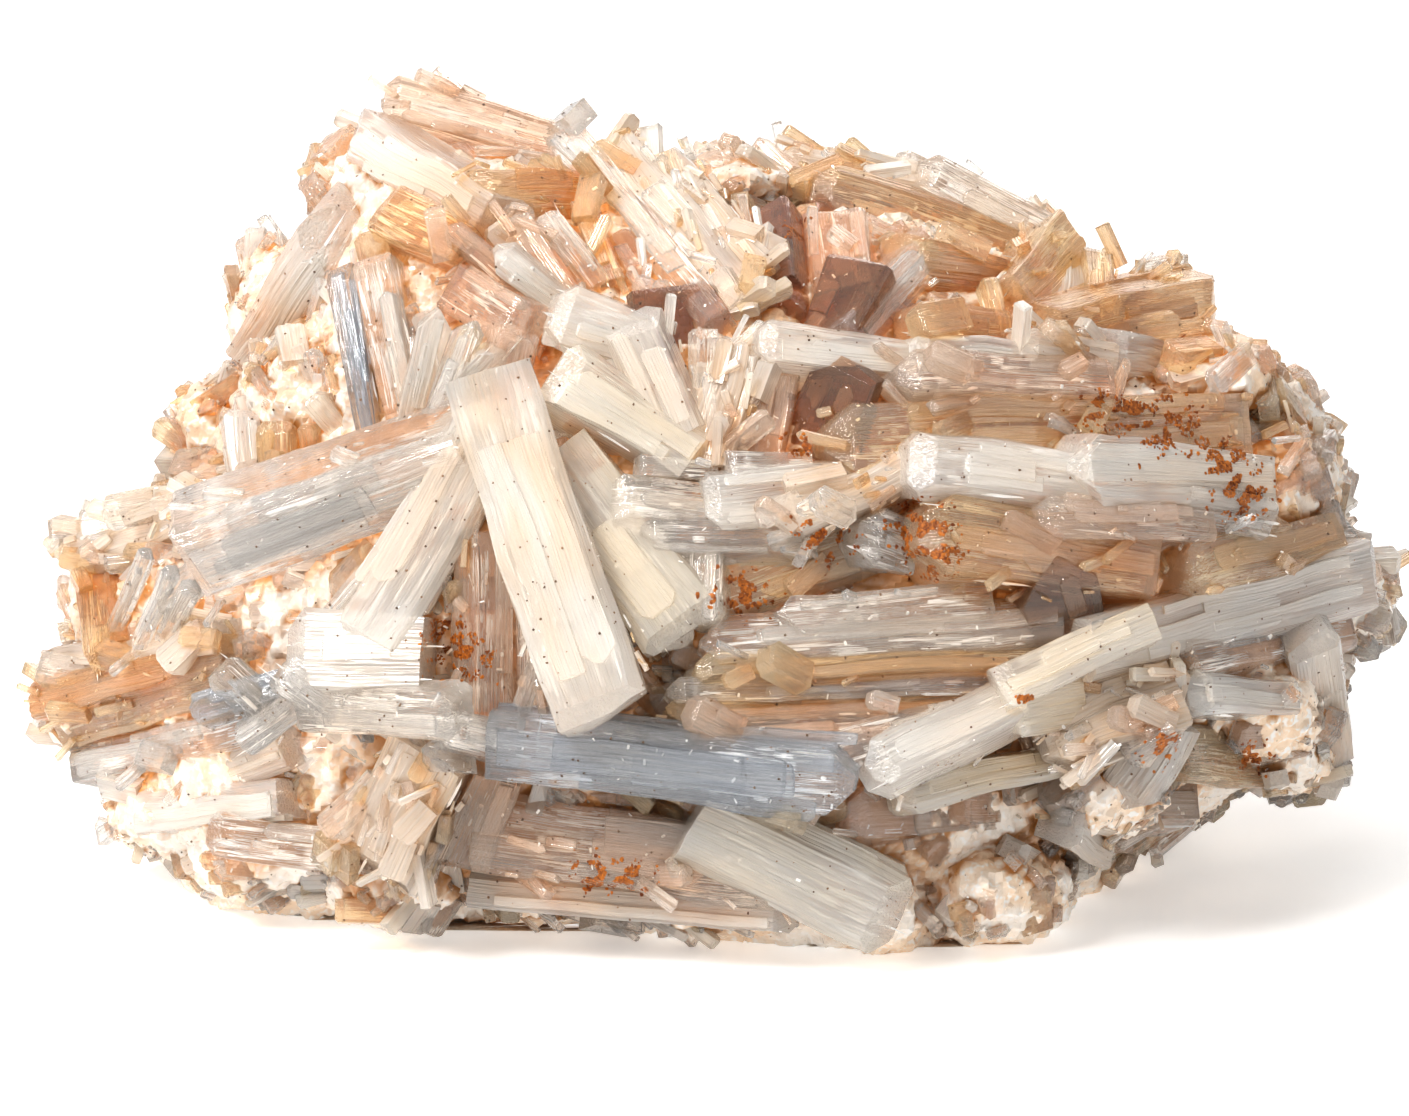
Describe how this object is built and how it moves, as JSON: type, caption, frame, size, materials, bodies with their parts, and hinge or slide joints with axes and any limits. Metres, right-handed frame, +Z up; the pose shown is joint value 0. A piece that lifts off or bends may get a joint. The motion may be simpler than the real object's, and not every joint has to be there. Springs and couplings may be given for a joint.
{
  "type": "barite crystal specimen",
  "caption": "Hand specimen of barite: a lump of massive barite grown over with milky, clear, honey and smoky bladed crystals, worn flat underneath so that it stands.",
  "frame": {"origin": "middle of the bounding box at the level of the worn flat underside", "axes": "+Z up from the flat underside, +X to the right along the specimen's length as the show face is looked at, and the show face looks to -Y"},
  "size_m": [0.1352, 0.0878, 0.0791],
  "materials": {
    "massive": "granular white to peach massive barite with rust stains",
    "milky": "milky translucent crystal with fibrous lengthwise lines",
    "clear": "clear crystal with inner veils and glassy cleavage faces",
    "honey": "honey to beige translucent crystal with fine specks",
    "smoky": "smoky brown glassy plate",
    "steel": "steel blue glassy crystal with bright inner scratches"
  },
  "bodies": {
    "root": {"barite_crystal": "massive"}
  },
  "joints": []
}
